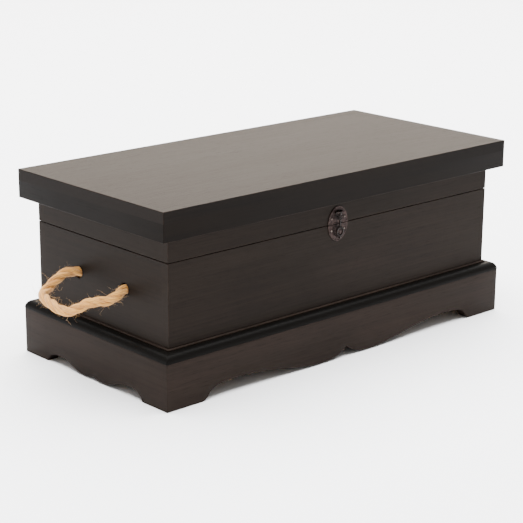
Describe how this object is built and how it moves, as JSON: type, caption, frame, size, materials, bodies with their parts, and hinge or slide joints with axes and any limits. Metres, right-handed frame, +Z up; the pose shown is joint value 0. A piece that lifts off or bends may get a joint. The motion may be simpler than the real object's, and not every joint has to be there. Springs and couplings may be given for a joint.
{
  "type": "storage chest",
  "caption": "Low dark-stained wooden chest with a thick hinged lid, scalloped bracket-foot plinth, oval antique latch and twisted rope handles.",
  "frame": {"origin": "on the floor under the middle of the chest", "axes": "+X along the chest's length to its right end, +Y from the front to the back, +Z up"},
  "size_m": [0.883, 0.3616, 0.303],
  "materials": {
    "stained_wood": "dark satin stain with a faint straight grain",
    "raw_wood": "unfinished softwood and plywood, matt",
    "sisal_rope": "natural three-strand sisal, hairy, matt",
    "antique_bronze": "dark antique bronze, rubbed lighter on raised edges",
    "hinge_brass": "aged brass, satin",
    "steel": "plain zinc-plated steel"
  },
  "bodies": {
    "case": {"front_panel": "stained_wood", "back_panel": "stained_wood", "left_end_panel": "stained_wood", "right_end_panel": "stained_wood", "bottom_panel": "raw_wood", "front_cleat": "raw_wood", "back_cleat": "raw_wood", "left_cleat": "raw_wood", "right_cleat": "raw_wood", "front_left_foot_block": "raw_wood", "front_right_foot_block": "raw_wood", "back_left_foot_block": "raw_wood", "back_right_foot_block": "raw_wood", "front_apron": "stained_wood", "back_apron": "stained_wood", "left_apron": "stained_wood", "right_apron": "stained_wood", "left_hinge_case_leaf": "hinge_brass", "right_hinge_case_leaf": "hinge_brass", "left_hinge_pin": "steel", "right_hinge_pin": "steel", "hinge_case_screws": "steel", "cleat_screws": "steel", "latch_lower_plate": "antique_bronze", "latch_lower_nails": "antique_bronze", "left_front_rope_knot": "sisal_rope", "left_back_rope_knot": "sisal_rope", "right_front_rope_knot": "sisal_rope", "right_back_rope_knot": "sisal_rope"},
    "lid": {"lid_top_board": "stained_wood", "lid_front_edge": "stained_wood", "lid_back_edge": "stained_wood", "lid_left_edge": "stained_wood", "lid_right_edge": "stained_wood", "lid_front_rail": "stained_wood", "lid_back_rail": "stained_wood", "lid_left_rail": "stained_wood", "lid_right_rail": "stained_wood", "left_hinge_lid_leaf": "hinge_brass", "right_hinge_lid_leaf": "hinge_brass", "hinge_lid_screws": "steel", "lid_screws": "steel", "latch_upper_plate": "antique_bronze", "latch_upper_nails": "antique_bronze", "latch_pin": "antique_bronze"},
    "hasp": {"latch_hasp": "antique_bronze"},
    "left_handle": {"left_rope_handle": "sisal_rope"},
    "right_handle": {"right_rope_handle": "sisal_rope"}
  },
  "joints": [
    {"name": "lid_hinge", "type": "hinge", "parent": "case", "child": "lid", "pos_m": [0, 0.1645, 0.219], "axis": [-1, 0, 0], "range_deg": [0, 95]},
    {"name": "hasp_swing", "type": "hinge", "parent": "lid", "child": "hasp", "pos_m": [-0.008, -0.1652, 0.2385], "axis": [-1, 0, 0], "range_deg": [0, 120]},
    {"name": "left_handle_swing", "type": "hinge", "parent": "case", "child": "left_handle", "pos_m": [-0.3605, 0, 0.156], "axis": [0, 1, 0], "range_deg": [-50, 60]},
    {"name": "right_handle_swing", "type": "hinge", "parent": "case", "child": "right_handle", "pos_m": [0.3605, 0, 0.156], "axis": [0, -1, 0], "range_deg": [-50, 60]}
  ]
}
